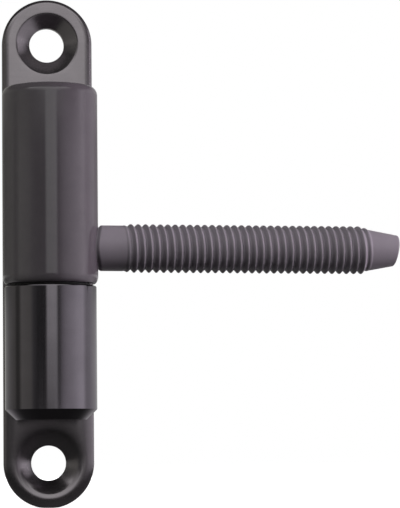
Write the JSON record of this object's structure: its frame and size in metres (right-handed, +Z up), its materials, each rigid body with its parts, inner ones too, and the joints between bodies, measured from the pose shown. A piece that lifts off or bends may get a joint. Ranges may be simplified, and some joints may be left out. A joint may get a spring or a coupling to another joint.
{
  "type": "drill-in door hinge",
  "caption": "Two-part lift-off door hinge: a strip plate with countersunk holes carries a short barrel, and a longer barrel with a threaded stud turns on its pin.",
  "frame": {"origin": "middle of the plate's back face, halfway between the two screw holes", "axes": "+Z up along the hinge axis, +X the way the stud points, +Y into the frame that the plate is screwed to"},
  "size_m": [0.0665, 0.0191, 0.085],
  "materials": {
    "plate_coat": "dark satin plating",
    "polished_coat": "dark plating, drawn and polished",
    "satin_coat": "dark coat, smooth and glossy",
    "stud_coat": "grey satin coat, rolled thread",
    "pin_steel": "ground",
    "bush_plastic": "moulded, matt"
  },
  "bodies": {
    "frame_half": {"frame_plate": "plate_coat", "lower_barrel": "polished_coat", "hinge_pin": "pin_steel"},
    "bush": {"bearing_bush": "bush_plastic"},
    "door_half": {"upper_barrel": "satin_coat", "door_stud": "stud_coat"}
  },
  "joints": [
    {"name": "door_lift", "type": "slide", "parent": "frame_half", "child": "bush", "axis": [0, 0, 1], "range_m": [0, 0.024]},
    {"name": "door_swing", "type": "hinge", "parent": "bush", "child": "door_half", "pos_m": [0, -0.0113, 0], "axis": [0, 0, -1], "range_deg": [-18, 212]}
  ]
}
